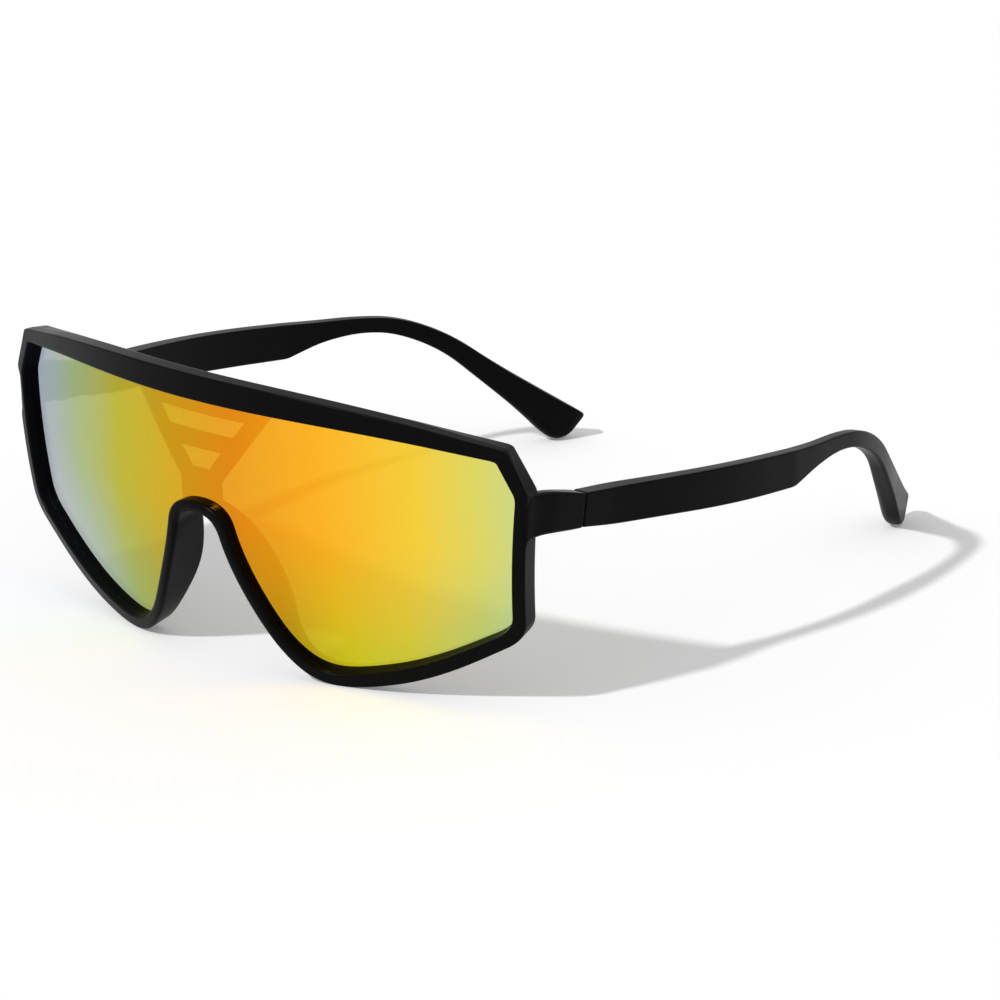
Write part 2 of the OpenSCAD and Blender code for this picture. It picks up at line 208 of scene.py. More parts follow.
class ShieldFrontSizes(bpy.types.PropertyGroup):
    """Sizes of the moulded front, its lugs, its brace and the lens."""

    half_w: length("Half width", 73, "From the middle to the side of the rim")
    front_h: length("Height", 64.5, "From the surface it stands on to the top of the brow")
    wrap_d: length("Wrap", 22, "How far the sides wrap back from the middle")
    tuck_d: length("Tuck", 8, "How far the bottom of the rim tucks back")
    frame_t: length("Thickness", 5.4, "Thickness of the frame, square to its front face")
    rim_w: length("Rim width", 2.6, "Width of the rim's front face")
    brow_w: length("Brow height", 5.8, "Height of the brow's front face in the middle")
    front_r: length("Front edge radius", 0.45, "Rounding of the outer front edge")
    brow_r: length("Brow edge radius", 0.35, "Rounding of the ridges beside the brow's bevel")
    brow_bevel_d: length("Brow bevel depth", 3.2, "How far the brow's top bevel reaches back")
    brow_bevel_h: length("Brow bevel height", 0.2, "How far the brow's top bevel reaches down")
    cheek_r: length("Lug blend radius", 2.0, "Rounding of the front edge where it runs into a lug")
    nose_r: length("Nose edge radius", 1.2, "Rounding of the front edges round the nose arch")
    edge_r: length("Edge radius", 0.5, "Rounding of the long edges")
    pad_d: length("Pad depth", 6.4, "How far the nose pads reach behind the frame")
    pad_t: length("Pad thickness", 1.9, "Thickness of a nose pad at its rear edge")
    rear_lean: length("Rear lean", 2.2, "How far the rear edge leans from the front edge")
    lens_recess: length("Lens recess", 1.9, "Depth of the lens behind the front face")
    lens_t: length("Lens thickness", 1, "Thickness of the lens")
    lens_bite: length("Lens bite", 0.9, "How far the edge of the lens sits in its groove")
    lens_gap: length("Lens gap", 0.1, "Clearance of the lens in its groove")
    lens_seat: length("Lens seat", 0.03, "Space between the lens and its groove's front wall")
    brace_gap: length("Brace gap", 0.1, "Gap between the lens and the brace")
    brace_t: length("Brace thickness", 0.8, "Thickness of the brace behind the lens")
    brace_top_w: length("Brace top", 20.2, "Half width of the brace where it leaves the brow")
    brace_neck_w: length("Brace neck", 5.8, "Half width of the brace at its neck")
    brace_neck_z: length("Neck height", 41, "Height of the neck's top")
    lug_run: length("Lug length", 17, "How far a lug reaches behind the side of the rim")
    lug_out: length("Lug stand out", 0.6, "How far a lug stands outside the rim")


class ShieldTempleSizes(bpy.types.PropertyGroup):
    """Sizes of the temples."""

    run: length("Length", 140.8, "Length of a temple along Y")
    top: length("Joint height", 44.4, "Height of the top edge at the joint")
    height: length("Blade height", 7.25, "Height of the blade at the joint")
    thickness: length("Blade thickness", 4, "Thickness of the blade at the joint")
    tip_in: length("Draw in", 25.4, "How far the tip is drawn in towards the head")
    gap: length("Joint gap", 0.2, "Gap between a lug and its temple")
    edge_r: length("Edge radius", 0.45, "Rounding of the blade's long edges")
    end_r: length("End radius", 0.4, "Rounding of the ends at the joint")
    tip_r: length("Tip rounding", 1.6, "How far before its end the tip starts to round off")
    low_r: length("Tip's low edge radius", 2.2, "Rounding of the inner bottom edge at the tip")
    lean: number("Joint lean", 9, "Lean of the joint's face in degrees")


class ShieldFinishes(bpy.types.PropertyGroup):
    """Colours of the materials, and how much the lens mirrors and lets through."""

    nylon: colour("Nylon", "#050506", "Black moulded nylon")
    hinge: colour("Hinge", "#1c1d1f", "Black plated nickel silver")
    screw: colour("Screw", "#6f7174", "Steel")
    lens_body: colour("Lens body", "#ffffff", "Clear polycarbonate under the mirror coat")
    through_far: colour("Through, far side", "#f6dcf2", "Light let through at the wearer's right")
    through_near: colour("Through, near side", "#dcff20", "Light let through elsewhere")
    mirror: number("Mirror", 0.88, "Share of the light that the coat sends back")


class ShieldStudio(bpy.types.PropertyGroup):
    """Floor, lamp and sky."""

    floor: colour("Floor", "#f7f7f8", "Plain pale floor")
    sky: number("Sky", 0.64, "Strength of the soft light from all round")
    sun: number("Lamp", 1.9, "Strength of the lamp")
    sun_angle: number("Lamp size", 3.4, "Apparent size of the lamp in degrees")
    glow: number("Floor glow", 0.15, "How much whiter the floor looks than its paper")


# Shapes


def bend(x, f):
    """How far back the front surface lies at x: wrap * ((1 + flat) u^2 - flat u^4), where u is
    x / half width."""
    u = x / f.half_w
    return f.wrap_d * ((1 + FLAT_SHARE) * u ** 2 - FLAT_SHARE * u ** 4)


def tuck(z, f):
    """How far back the front surface tucks at z: tuck * (1 - z / start)^2 below its start."""
    return f.tuck_d * np.maximum(0, 1 - z / (TUCK_SHARE * f.front_h)) ** 2


def on_front(x, z, depth, f):
    """The front surface's point (x, bend + tuck, z), moved back along its normal by depth."""
    u = x / f.half_w
    across = f.wrap_d * (2 * (1 + FLAT_SHARE) * u - 4 * FLAT_SHARE * u ** 3) / f.half_w
    start = TUCK_SHARE * f.front_h
    up = -2 * f.tuck_d * np.maximum(0, 1 - z / start) / start
    normal = np.stack([-across, np.ones_like(x), -up], -1)
    normal /= np.linalg.norm(normal, axis=-1, keepdims=True)
    point = np.stack([x, bend(x, f) + tuck(z, f) - half_depth(), z], -1)
    return point + depth[..., None] * normal


def half_depth():
    """Half of the whole depth: the row's origin is in the middle of the open glasses."""
    f, t = bpy.context.scene.shield_front, bpy.context.scene.shield_temple
    return (f.wrap_d + f.lug_run + t.gap + t.run) / 2


def softened(rows, closed):
    """Rows whose corners are parabolas: a (1 - t)^2 + v 2 t (1 - t) + b t^2, where a and b lie on
    the two sides of the corner v at the share that the row's last column gives. The ends of an open
    list stay."""
    rows = np.asarray(rows, float)
    soft = rows[:, -1:].copy()
    if not closed:
        soft[[0, -1]] = 0
    a = rows + (np.roll(rows, 1, 0) - rows) * soft
    b = rows + (np.roll(rows, -1, 0) - rows) * soft
    t = np.linspace(0, 1, CORNER_STEPS + 1)[None, :, None]
    arcs = a[:, None] * (1 - t) ** 2 + rows[:, None] * 2 * t * (1 - t) + b[:, None] * t ** 2
    return arcs.reshape(-1, rows.shape[1])


def along(points, places=None, count=None, columns=(0, 1)):
    """Rows of a polyline at given distances along it, or at count even ones, and its length.
    Distance is measured in the named columns."""
    step = np.linalg.norm(np.diff(points[:, list(columns)], axis=0), axis=1)
    at = np.concatenate([[0], np.cumsum(step)])
    if places is None:
        places = np.linspace(0, at[-1], count)
    return np.stack([np.interp(places, at, c) for c in points.T], -1), at[-1]


def smooth_step(value, start, end):
    """0 before start, 1 after end, and 3 t^2 - 2 t^3 between them."""
    t = np.clip((value - start) / (end - start), 0, 1)
    return t * t * (3 - 2 * t)


def rounded(corners, radii, steps):
    """Profiles with rounded corners. Corners is (profiles, corners, 2). Each corner becomes a
    parabola that starts and ends its radius away from the corner, or at the reach's share of a
    short side. A point a little outside each end, at most half way from the reach to the side's
    middle, keeps the flat beside it flat in the shading."""
    held_reach = (CORNER_REACH + 0.5) / 2
    before = np.roll(corners, 1, 1) - corners
    after = np.roll(corners, -1, 1) - corners
    out = []
    for k, (radius, count) in enumerate(zip(radii, steps)):
        v = corners[:, k]
        if count == 0:
            out.append(v[:, None])
            continue
        ends, held = [], []
        for side in (before[:, k], after[:, k]):
            size = np.maximum(np.linalg.norm(side, axis=-1, keepdims=True), LEAST_SIDE)
            ends.append(v + side * np.minimum(radius / size, CORNER_REACH))
            held.append(v + side * np.minimum((radius + EDGE_SUPPORT) / size, held_reach))
        t = np.linspace(0, 1, count + 1)[None, :, None]
        first, last = ends[0][:, None], ends[1][:, None]
        arc = first * (1 - t) ** 2 + v[:, None] * 2 * t * (1 - t) + last * t ** 2
        out += [held[0][:, None], arc, held[1][:, None]]
    return np.concatenate(out, 1)


def ring_quads(rings, around, closed):
    """Quads between each ring of points and the next, and round to the first ring if closed."""
    r = np.arange(rings if closed else rings - 1)[:, None]
    s = np.arange(around)[None]
    here, following, turn = r * around, (r + 1) % rings * around, (s + 1) % around
    quads = np.stack([here + s, here + turn, following + turn, following + s], -1)
    return quads.reshape(-1, 4)


def capped(rings):
    """Faces of a tube of rings, with a flat face at each end."""
    count, around = rings.shape[:2]
    faces = ring_quads(count, around, False).tolist()
    faces.append(list(range(around))[::-1])
    faces.append(list(range((count - 1) * around, count * around)))
    return faces


def piece(name, points, faces, body, replaced=(), flip=False):
    """A mesh object of the given points and faces that rides on a body and stands in for the
    replaced nodes. Flip turns its faces over, for a shape that is built with them inward."""
    if flip:
        faces = [f[::-1] for f in faces]
    mesh = bpy.data.meshes.new(name)
    mesh.from_pydata(np.asarray(points).reshape(-1, 3).tolist(), [], faces)
    mesh.validate()
    mesh.shade_smooth()
    made = bpy.data.objects.new(name, mesh)
    bpy.context.scene.collection.objects.link(made)
    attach(made, body)
    if replaced:
        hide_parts(*replaced)
    return made


def even_normals(made):
    """Large faces lead the shading, so flats stay flat beside their small rounded edges."""
    modifier = made.modifiers.new("even_normals", "WEIGHTED_NORMAL")
    modifier.mode = "FACE_AREA"
    modifier.weight = FACE_LEAD
    modifier.keep_sharp = True
    return made


def front_stations(f):
    """Even stations round the front: outer point, inner point, pad depth and rear lean.
    Each inner corner lies where its two sides meet once they are moved in by the rim's width."""
    half = np.array(FRONT_ROWS) * [f.half_w, f.front_h, 1, 1, 1, 1]
    rows = np.concatenate([half, half[::-1] * [-1, 1, 1, 1, 1, 1]])
    outer = rows[:, :2]

    def inward(a, b):
        d = (b - a) / np.linalg.norm(b - a, axis=1, keepdims=True)
        return np.stack([d[:, 1], -d[:, 0]], -1)

    na = inward(np.roll(outer, 1, 0), outer)
    nb = inward(outer, np.roll(outer, -1, 0))
    width = (f.rim_w + (f.brow_w - f.rim_w) * rows[:, 2])[:, None]
    inner = outer + width * (na + nb) / (1 + (na * nb).sum(1, keepdims=True))
    pad, lean, softness = rows[:, 3:4] * f.pad_d, rows[:, 4:5] * f.rear_lean, rows[:, 5:]
    smooth = softened(np.concatenate([outer, inner, pad, lean, softness], 1), True)
    smooth = np.concatenate([smooth, smooth[:1]])
    return along(smooth, count=RIM_STATIONS + 1)[0][:-1]


def rim_profiles(st, f, t):
    """Section of the rim at each station, as (across from the outer edge, back from the front
    face): bevelled and rounded outer front edge, rounded rear edge, nose pad, groove for the lens,
    rounded inner edge. The outer front edge has a long flat bevel along the brow and is roundest
    where a lug runs out of it. Both front edges are rounder round the nose arch."""
    out, up = np.abs(st[:, 0]), st[:, 1]
    w = np.linalg.norm(st[:, 2:4] - st[:, :2], axis=1)
    brow = smooth_step(w, f.rim_w, (f.rim_w + f.brow_w) / 2) * (up > f.front_h / 2)
    low, high, fade = t.top - t.height, t.top + t.height * LUG_ROWS[1][1], t.height / 3
    lug_here = smooth_step(up, low - fade / 2, low + fade) * smooth_step(up, high, high - fade)
    lug_here *= out > SIDE_SHARE * f.half_w
    nose_here = smooth_step(out, NOSE_SHARES[0] * f.half_w, NOSE_SHARES[1] * f.half_w)
    nose_here *= up < f.front_h * NOSE_HEIGHT_SHARE
    front_r = f.front_r + (f.cheek_r - f.front_r) * lug_here + (f.nose_r - f.front_r) * nose_here
    bevel_d = front_r / 2 + (f.brow_bevel_d - front_r / 2) * brow
    bevel_h = front_r / 2 + (f.brow_bevel_h - front_r / 2) * brow
    front_r = FRONT_ROUNDING * front_r
    front_r = (front_r + (f.brow_r - front_r) * brow)[:, None]
    inner_r = (f.edge_r + (NOSE_ROUNDING * f.nose_r - f.edge_r) * nose_here)[:, None]
    back, lean = f.frame_t + st[:, 4], st[:, 5]
    zero = np.zeros_like(w)
    slot = f.lens_recess + f.lens_t + 2 * f.lens_gap
    ledge = w - f.lens_bite - f.lens_gap
    section = (
        (zero, bevel_d, front_r, OUTER_STEPS),
        (lean, back, OUTER_REAR_ROUNDING * f.edge_r, EDGE_STEPS),
        (lean + f.pad_t, back, INNER_REAR_ROUNDING * f.edge_r, EDGE_STEPS),
        (w, zero + f.frame_t, f.edge_r, EDGE_STEPS),
        (w, zero + slot, 0, 0),
        (ledge, zero + slot, 0, 0),
        (ledge, zero + f.lens_recess, 0, 0),
        (w, zero + f.lens_recess, 0, 0),
        (w, zero, inner_r, INNER_STEPS),
        (bevel_h, zero, front_r, RIDGE_STEPS),
    )
    across, behind, radii, steps = zip(*section)
    return rounded(np.stack([np.stack(across, 1), np.stack(behind, 1)], -1), radii, steps)


def rim_points(f, t):
    """The rim's section carried round the outline, on the wrapped front surface."""
    st = front_stations(f)
    profile = rim_profiles(st, f, t)
    inward = st[:, 2:4] - st[:, :2]
    inward /= np.linalg.norm(inward, axis=1, keepdims=True)
    flat = st[:, None, :2] + inward[:, None] * profile[..., :1]
    return on_front(flat[..., 0], flat[..., 1], profile[..., 1], f)


def front_rim(f, t):
    """The moulded rim, with its nose pads."""
    points = rim_points(f, t)
    faces = ring_quads(*points.shape[:2], True).tolist()
    return piece("front_rim", points, faces, "front", ["front_frame"],
                 flip=True)


def rim_side(f, t):
    """Where the rounded front edge stands furthest out on the wearer's left: out, back and height,
    in rows of rising height."""
    outer = rim_points(f, t)
    furthest = outer[np.arange(len(outer)), outer[..., 0].argmax(1)]
    side = furthest[furthest[:, 0] > SIDE_SHARE * f.half_w]
    return side[np.argsort(side[:, 2])]


def lug(f, t, side):
    """One lug: a rounded rectangle carried back from the rim, leaning into the joint's face, with
    its end edge rounded by rings that stand in by r (1 - sin a) at r (1 - cos a) from the end. It
    starts just under the line where the rim's side stands furthest out, and leaves it straight
    back. Its long edges are rounded by at most a third of its width."""
    rows = softened(LUG_ROWS, False)
    turn = np.linspace(0, np.pi / 2, EDGE_STEPS + 1)
    total = along(rows, count=2, columns=(0,))[1]
    end_r, r_share = t.end_r, t.end_r / f.lug_run
    places = np.linspace(0, total - r_share, LUG_STATIONS)[:-1]
    places = np.concatenate([places, (total - r_share * (1 - np.cos(turn)))[::-1]])
    stand_in = np.concatenate([np.zeros(LUG_STATIONS - 1), (end_r * (1 - np.sin(turn)))[::-1]])
    row = along(rows, places, columns=(0,))[0]
    lug_x = f.half_w + f.lug_out
    outer = f.half_w + f.lug_out * row[:, 4]
    width = outer - lug_x + t.thickness * row[:, 3] - 2 * stand_in
    tall = t.height * (1 + row[:, 1] + row[:, 2]) - 2 * stand_in
    middle = np.stack([outer - stand_in - width / 2, f.wrap_d + row[:, 0] * f.lug_run,
                       t.top + row[:, 1] * t.height - stand_in - tall / 2], -1)
    lean = np.radians(t.lean * row[:, 5])
    edge_r = t.edge_r * (1 + LUG_SOFTENING * smooth_step(row[:, 0], *LUG_SOFTENS))
    profile = rectangle(width, tall, np.minimum(edge_r, width / 3))
    across, up = profile[..., 0], profile[..., 1]
    leaning = [across, up * np.sin(lean)[:, None], up * np.cos(lean)[:, None]]
    points = middle[:, None] + np.stack(leaning, -1)
    points[..., 1] -= half_depth()
    out, back, height = rim_side(f, t).T
    rim_out, rim_back = (np.interp(points[..., 2], height, at) for at in (out, back))
    follow = 1 - smooth_step(row[:, 0], rows[0, 0], LUG_FOLLOWS)[:, None]
    points[..., 0] += follow * (rim_out - LUG_START - outer[:, None])
    points[..., 1] += follow * (rim_back - middle[0, 1] + half_depth())
    points[..., 0] *= side
    name = "lug_left" if side > 0 else "lug_right"
    made = piece(name, points, capped(points), "front", flip=side > 0)
    return even_normals(made)


def rectangle(width, tall, radius, low_radius=None):
    """Rounded rectangles about the origin, anticlockwise: each corner is a quarter circle. The
    third corner, low on the inside, may have a radius of its own."""
    radii = (radius, radius, radius if low_radius is None else low_radius, radius)
    turn = np.linspace(0, np.pi / 2, EDGE_STEPS + 1)
    out = []
    for k, (sx, sy) in enumerate(((1, 1), (-1, 1), (-1, -1), (1, -1))):
        angle = turn + k * np.pi / 2
        cx, cy = sx * (width / 2 - radii[k]), sy * (tall / 2 - radii[k])
        out.append(np.stack([cx[:, None] + radii[k][:, None] * np.cos(angle),
                             cy[:, None] + radii[k][:, None] * np.sin(angle)], -1))
    return np.concatenate(out, 1)


def brace(f):
    """The V brace behind the lens: a grid of columns across each row, whose cells in the two
    windows are left out, on the front surface just behind the lens."""
    top = f.front_h - f.brow_w + BRACE_INTO_BROW
    neck, foot = f.brace_neck_z, FRONT_ROWS[-1][1] * f.front_h - BRACE_INTO_ARCH
    windows = np.array(BRACE_WINDOWS) * MM
    heights = [foot, neck, windows[1][1], windows[1][0], windows[0][1], windows[0][0], top]
    parts = [np.linspace(a, b, BRACE_DOWN)[:-1] for a, b in zip(heights, heights[1:])]
    rows = np.concatenate([*parts, [top]])
    slope = (f.brace_top_w - f.brace_neck_w) / (f.front_h - f.brow_w - neck)
    outer = f.brace_neck_w + np.maximum(0, rows - neck) * slope
    hole_z = [w[k] for w in windows[::-1] for k in (1, 0)]
    hole_w = [w[k] for w in windows[::-1] for k in (3, 2)]
    inner = np.interp(rows, hole_z, hole_w)
    limb = np.linspace(0, 1, BRACE_LIMB)
    right = inner[:, None] + (outer - inner)[:, None] * limb
    middle = inner[:, None] * np.linspace(-1, 1, BRACE_MIDDLE)[1:-1]
    x = np.concatenate([-right[:, ::-1], middle, right], 1)
    z = np.broadcast_to(rows[:, None], x.shape)
    depth = f.lens_recess + f.lens_gap + f.lens_t + f.brace_gap + f.brace_t / 2
    points = on_front(x, z, np.full(x.shape, depth), f)
    count = x.shape[1]
    r, c = np.meshgrid(np.arange(len(rows) - 1), np.arange(count - 1), indexing="ij")
    centre = (rows[:-1] + rows[1:])[:, None] / 2
    open_row = np.zeros(centre.shape, bool)
    for high, low, _, _ in windows:
        open_row |= (centre > low) & (centre < high)
    inside = (c >= len(limb) - 1) & (c < count - len(limb))
    keep = ~(open_row & inside)
    a = (r * count + c)[keep]
    faces = np.stack([a, a + 1, a + 1 + count, a + count], -1).tolist()
    made = piece("brace", points, faces, "front")
    wall = made.modifiers.new("wall", "SOLIDIFY")
    wall.thickness, wall.offset = f.brace_t, 0
    edge = made.modifiers.new("edge", "BEVEL")
    edge.width, edge.segments, edge.limit_method = BRACE_BEVEL, 2, "ANGLE"
    return made


def shield_lens(f):
    """The lens: columns across the front from the groove below to the groove above, on two layers
    of the front surface, with a wall round the edge. Front cells come first, then back and edge."""
    st = front_stations(f)
    inward = st[:, 2:4] - st[:, :2]
    inward /= np.linalg.norm(inward, axis=1, keepdims=True)
    edge = st[:, 2:4] - inward * f.lens_bite
    right = edge[edge[:, 0] > 0]
    side = right[:, 0].argmax()
    brow, rim = right[:side + 1], right[side:][::-1]
    brow = brow[np.argsort(brow[:, 0])]
    rim = rim[np.argsort(rim[:, 0])]
    turn = np.linspace(0, np.pi / 2, LENS_COLUMNS)
    x = np.sin(turn) ** LENS_CROWDING * right[side, 0]
    high, low = np.interp(x, brow[:, 0], brow[:, 1]), np.interp(x, rim[:, 0], rim[:, 1])
    x = np.concatenate([-x[:0:-1], x])
    high, low = np.concatenate([high[:0:-1], high]), np.concatenate([low[:0:-1], low])
    share = np.linspace(0, 1, LENS_ROWS + 1)
    z = low[:, None] + np.maximum(high - low, LENS_LEAST)[:, None] * share
    wide = np.broadcast_to(x[:, None], z.shape)
    near = f.lens_recess + f.lens_seat
    layers = [on_front(wide, z, np.full(z.shape, d), f) for d in (near, near + f.lens_t)]
    n, stride = len(x), LENS_ROWS + 1
    c, k = np.meshgrid(np.arange(n - 1), np.arange(LENS_ROWS), indexing="ij")
    a = (c * stride + k).ravel()
    front = np.stack([a, a + stride, a + stride + 1, a + 1], -1)
    back = front[:, ::-1] + n * stride
    loop = np.concatenate([
        np.arange(n) * stride, (n - 1) * stride + np.arange(1, stride),
        np.arange(n - 2, -1, -1) * stride + LENS_ROWS, np.arange(LENS_ROWS - 1, 0, -1)])
    following = np.roll(loop, -1)
    wall = np.stack([loop, loop + n * stride, following + n * stride, following], -1)
    faces = np.concatenate([front, back, wall]).tolist()
    made = piece("lens", np.stack(layers), faces, "front", ["shield_lens"])
    made["front_cells"] = len(front)
    return made


def temple(f, t, side):
    """One temple: a rounded rectangle carried along the blade's stations. A point lies down the
    tilted station from its top edge, drawn in by the draw at its own y, and in along the draw's
    normal. Both end edges are rounded by rings that stand in by r (1 - sin a) at r (1 - cos a)."""
    rows = np.array(TEMPLE_ROWS) * [t.run, t.top, t.height, 1, t.tip_in, t.thickness, 1]
    joint_y = t.height / 2 * np.sin(np.radians(t.lean))
    first = [joint_y, t.top, t.height, t.lean, 0, t.thickness, 0]
    line = softened(np.vstack([first, rows]), False)
    total = along(line, count=2)[1]
    turn = np.linspace(0, np.pi / 2, END_STEPS + 1)
    near, far = t.end_r * (1 - np.cos(turn)), total - (t.tip_r * (1 - np.cos(turn)))[::-1]
    places = np.concatenate([near, np.linspace(near[-1], far[0], TEMPLE_STATIONS)[1:-1], far])
    inset = np.concatenate([t.end_r * (1 - np.sin(turn)), np.zeros(TEMPLE_STATIONS - 2),
                            (t.tip_r * (1 - np.sin(turn)))[::-1]])
    st = along(line, places)[0]
    tall = st[:, 2] - 2 * inset
    thick = st[:, 5] - 2 * np.minimum(inset, END_STAND_IN * st[:, 5])
    most = np.minimum(thick, tall) / EDGE_DIVISOR
    share = st[:, 0] / t.run
    edge_r = t.edge_r * (1 + TIP_SOFTENING * smooth_step(share, *TIP_SOFTENS))
    low_r = edge_r + (t.low_r - edge_r) * smooth_step(share, *TIP_LOW_SOFTENS)
    profile = rectangle(thick, tall, np.minimum(edge_r, most), np.minimum(low_r, most))
    inward = st[:, None, 5] / 2 - profile[..., 0]
    down = st[:, None, 2] / 2 - profile[..., 1]
    tilt = np.radians(st[:, 3])[:, None]
    y = st[:, None, 0] - down * np.sin(tilt)
    z = st[:, None, 1] - down * np.cos(tilt)
    draw = along(line, count=DRAW_STATIONS)[0]
    draw = draw[np.argsort(draw[:, 0])]
    slope = np.gradient(draw[:, 4], draw[:, 0] + np.arange(len(draw)) * LEAST_STEP)
    slope = np.interp(y, draw[:, 0], slope)
    drawn = np.interp(y, draw[:, 0], draw[:, 4])
    size = np.sqrt(1 + slope ** 2)
    x = f.half_w + f.lug_out - drawn - inward / size
    y = y - inward * slope / size + f.wrap_d + f.lug_run + t.gap - half_depth()
    points = np.stack([x * side, y, z], -1)
    name = "left" if side > 0 else "right"
    return piece("temple_blade_" + name, points, capped(points), name + "_arm",
                 ["temple_" + name], flip=side > 0)


# Materials


# Sizes of the patterns: the mould's grain as it is drawn, the uneven patches of its sheen, the flow
# in the polycarbonate, the spacing of the metal's lines as drawn, and the depth of grain and lines
GRAIN = 0.16 * MM
PATCHES = 14 * MM
FLOW = 22 * MM
LINES = 0.1 * MM
RELIEF = 0.01 * MM

# Where most values of a noise pattern lie
NOISE_LOW, NOISE_HIGH = 0.3, 0.7

# Index of refraction of polycarbonate, and the one that gives the nylon's weak sheen: solid nylon
# has 1.53, but its finely eroded skin mirrors far less
POLYCARBONATE_IOR = 1.586
NYLON_SKIN_IOR = 1.135

# Roughness of the polished lens
POLISHED = 0.03


def node(tree, kind, links=None, **settings):
    """Adds a node: settings name its properties or its input sockets, links its linked inputs."""
    made = tree.nodes.new(kind)
    for key, value in settings.items():
        if hasattr(made, key):
            setattr(made, key, value)
        else:
            made.inputs[key.replace("_", " ")].default_value = value
    for key, source in (links or {}).items():
        tree.links.new(source, made.inputs[key])
    return made


def blank(name):
    """An empty node material and its tree."""
    made = bpy.data.materials.new(name)
    made.use_nodes = True
    made.node_tree.nodes.clear()
    return made, made.node_tree


def moulded_nylon(tint):
    """Black nylon from a finely eroded mould: nearly black face on, with a soft grey sheen at low
    angles, a little uneven in wide patches. Its grain, about 0.1 mm across, is drawn coarser, at
    0.16 mm, so that it shows."""
    made, tree = blank("moulded_black_nylon")
    where = node(tree, "ShaderNodeTexCoord").outputs["Object"]
    grain = node(tree, "ShaderNodeTexNoise", {"Vector": where}, Scale=1 / GRAIN, Detail=2.0)
    cloud = node(tree, "ShaderNodeTexNoise", {"Vector": where}, Scale=1 / PATCHES, Detail=3.0)
    rough = node(tree, "ShaderNodeMapRange", {"Value": cloud.outputs["Fac"]},
                 From_Min=NOISE_LOW, From_Max=NOISE_HIGH, To_Min=0.27, To_Max=0.35)
    shade = node(tree, "ShaderNodeMapRange", {"Value": grain.outputs["Fac"]},
                 From_Min=NOISE_LOW, From_Max=NOISE_HIGH, To_Min=0.8, To_Max=1.2)
    base = node(tree, "ShaderNodeMix", data_type="RGBA", blend_type="MULTIPLY")
    base.inputs["Factor"].default_value = 1.0
    base.inputs["A"].default_value = tint
    tree.links.new(shade.outputs[0], base.inputs["B"])
    bump = node(tree, "ShaderNodeBump", {"Height": grain.outputs["Fac"]},
                Strength=0.25, Distance=RELIEF)
    skin = node(tree, "ShaderNodeBsdfPrincipled",
                {"Roughness": rough.outputs[0], "Normal": bump.outputs[0]}, IOR=NYLON_SKIN_IOR)
    tree.links.new(base.outputs["Result"], skin.inputs["Base Color"])
    node(tree, "ShaderNodeOutputMaterial", {"Surface": skin.outputs[0]})
    return made


# Colour that the mirror coat sends back, across the lens from the wearer's right to the left: ends
# of the bands in millimetres, then place and colour along the brow and along the bottom edge
COAT_ENDS = (-72, 76)
COAT_HIGH = (
    (-68, "#8696cc"),
    (-57, "#86a2b8"),
    (-45, "#8eab79"),
    (-27, "#b2a924"),
    (-9, "#d09e00"),
    (9, "#eb8e00"),
    (30, "#ffa600"),
    (50, "#f5c730"),
    (62, "#dbd162"),
    (72, "#c1d190"),
)
COAT_LOW = (
    (-60, "#9fa9e0"),
    (-45, "#90b0cb"),
    (-27, "#95ac6b"),
    (-8, "#ae9a10"),
    (19, "#be9c00"),
    (32, "#ccc408"),
    (46, "#c9c83c"),
    (60, "#a8c779"),
    (72, "#90c6b4"),
)
# Tint of what the coat sends back at low angles
COAT_LOW_ANGLE = "#fff8ce"
# Heights in millimetres between which the brow's colours give way to those of the bottom edge, and
# places between which the light that comes through changes its tint
COAT_FADES = (34, 8)
THROUGH_FADES = (-56, -28)


def bands(tree, across, stops):
    """A colour ramp with a stop at each place across the lens."""
    ramp = node(tree, "ShaderNodeValToRGB", {"Fac": across})
    made = ramp.color_ramp.elements
    for k, (place, code) in enumerate(stops):
        share = (place - COAT_ENDS[0]) / (COAT_ENDS[1] - COAT_ENDS[0])
        stop = made[k] if k < 2 else made.new(share)
        stop.position = share
        stop.color = linear(code)
    return ramp.outputs["Color"]


def blend(tree, factor, first, second):
    """A mix of two colours, each a colour or a socket."""
    mixed = node(tree, "ShaderNodeMix", {"Factor": factor}, data_type="RGBA")
    for key, value in (("A", first), ("B", second)):
        if isinstance(value, bpy.types.NodeSocket):
            tree.links.new(value, mixed.inputs[key])
        else:
            mixed.inputs[key].default_value = value
    return mixed.outputs["Result"]


